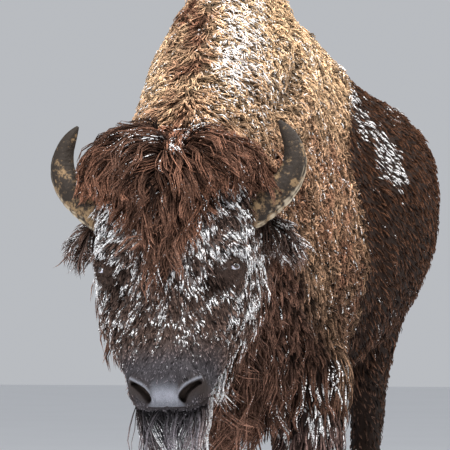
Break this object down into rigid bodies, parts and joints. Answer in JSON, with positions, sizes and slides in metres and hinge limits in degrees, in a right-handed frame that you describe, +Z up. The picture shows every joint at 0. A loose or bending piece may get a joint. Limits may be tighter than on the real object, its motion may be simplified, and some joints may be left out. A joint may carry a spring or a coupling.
{
  "type": "american bison bull model",
  "caption": "Life-size still model of a bison bull in shaggy winter coat, walking slowly with its head lowered, on cloven hooves.",
  "frame": {"origin": "the bottom centre of the bounding box, on the floor under the middle of the bull", "axes": "+Z up, -Y the way the bull faces, +X to its own left"},
  "size_m": [0.7938, 2.5414, 1.7805],
  "materials": {
    "face_fur": "short dark grey-brown hair, with a stringy black-brown beard",
    "forelock_fur": "long dark reddish-brown hair in strands",
    "cape_fur": "thick woolly golden-tan hair, darker low on the chest",
    "body_fur": "short dense dark chocolate-brown hair",
    "leg_fur": "nearly black-brown hair, shaggy above the knees",
    "horn": "weathered olive-grey to black horn, flaky, with a paler rim",
    "hoof": "dull black horn",
    "eye": "wet, glossy, nearly black brown"
  },
  "bodies": {
    "root": {"head": "face_fur", "forelock": "forelock_fur", "beard": "face_fur", "neck": "cape_fur", "forequarters": "cape_fur", "barrel": "body_fur", "hindquarters": "body_fur", "tail": "body_fur", "tail_tuft": "leg_fur", "fore_leg_left": "leg_fur", "fore_leg_right": "leg_fur", "hind_leg_left": "leg_fur", "hind_leg_right": "leg_fur", "fore_hoof_left_outer": "hoof", "fore_hoof_left_inner": "hoof", "fore_hoof_right_outer": "hoof", "fore_hoof_right_inner": "hoof", "hind_hoof_left_outer": "hoof", "hind_hoof_left_inner": "hoof", "hind_hoof_right_outer": "hoof", "hind_hoof_right_inner": "hoof", "horn_left": "horn", "horn_right": "horn", "ear_left": "face_fur", "ear_right": "face_fur", "eye_left": "eye", "eye_right": "eye"}
  },
  "joints": []
}
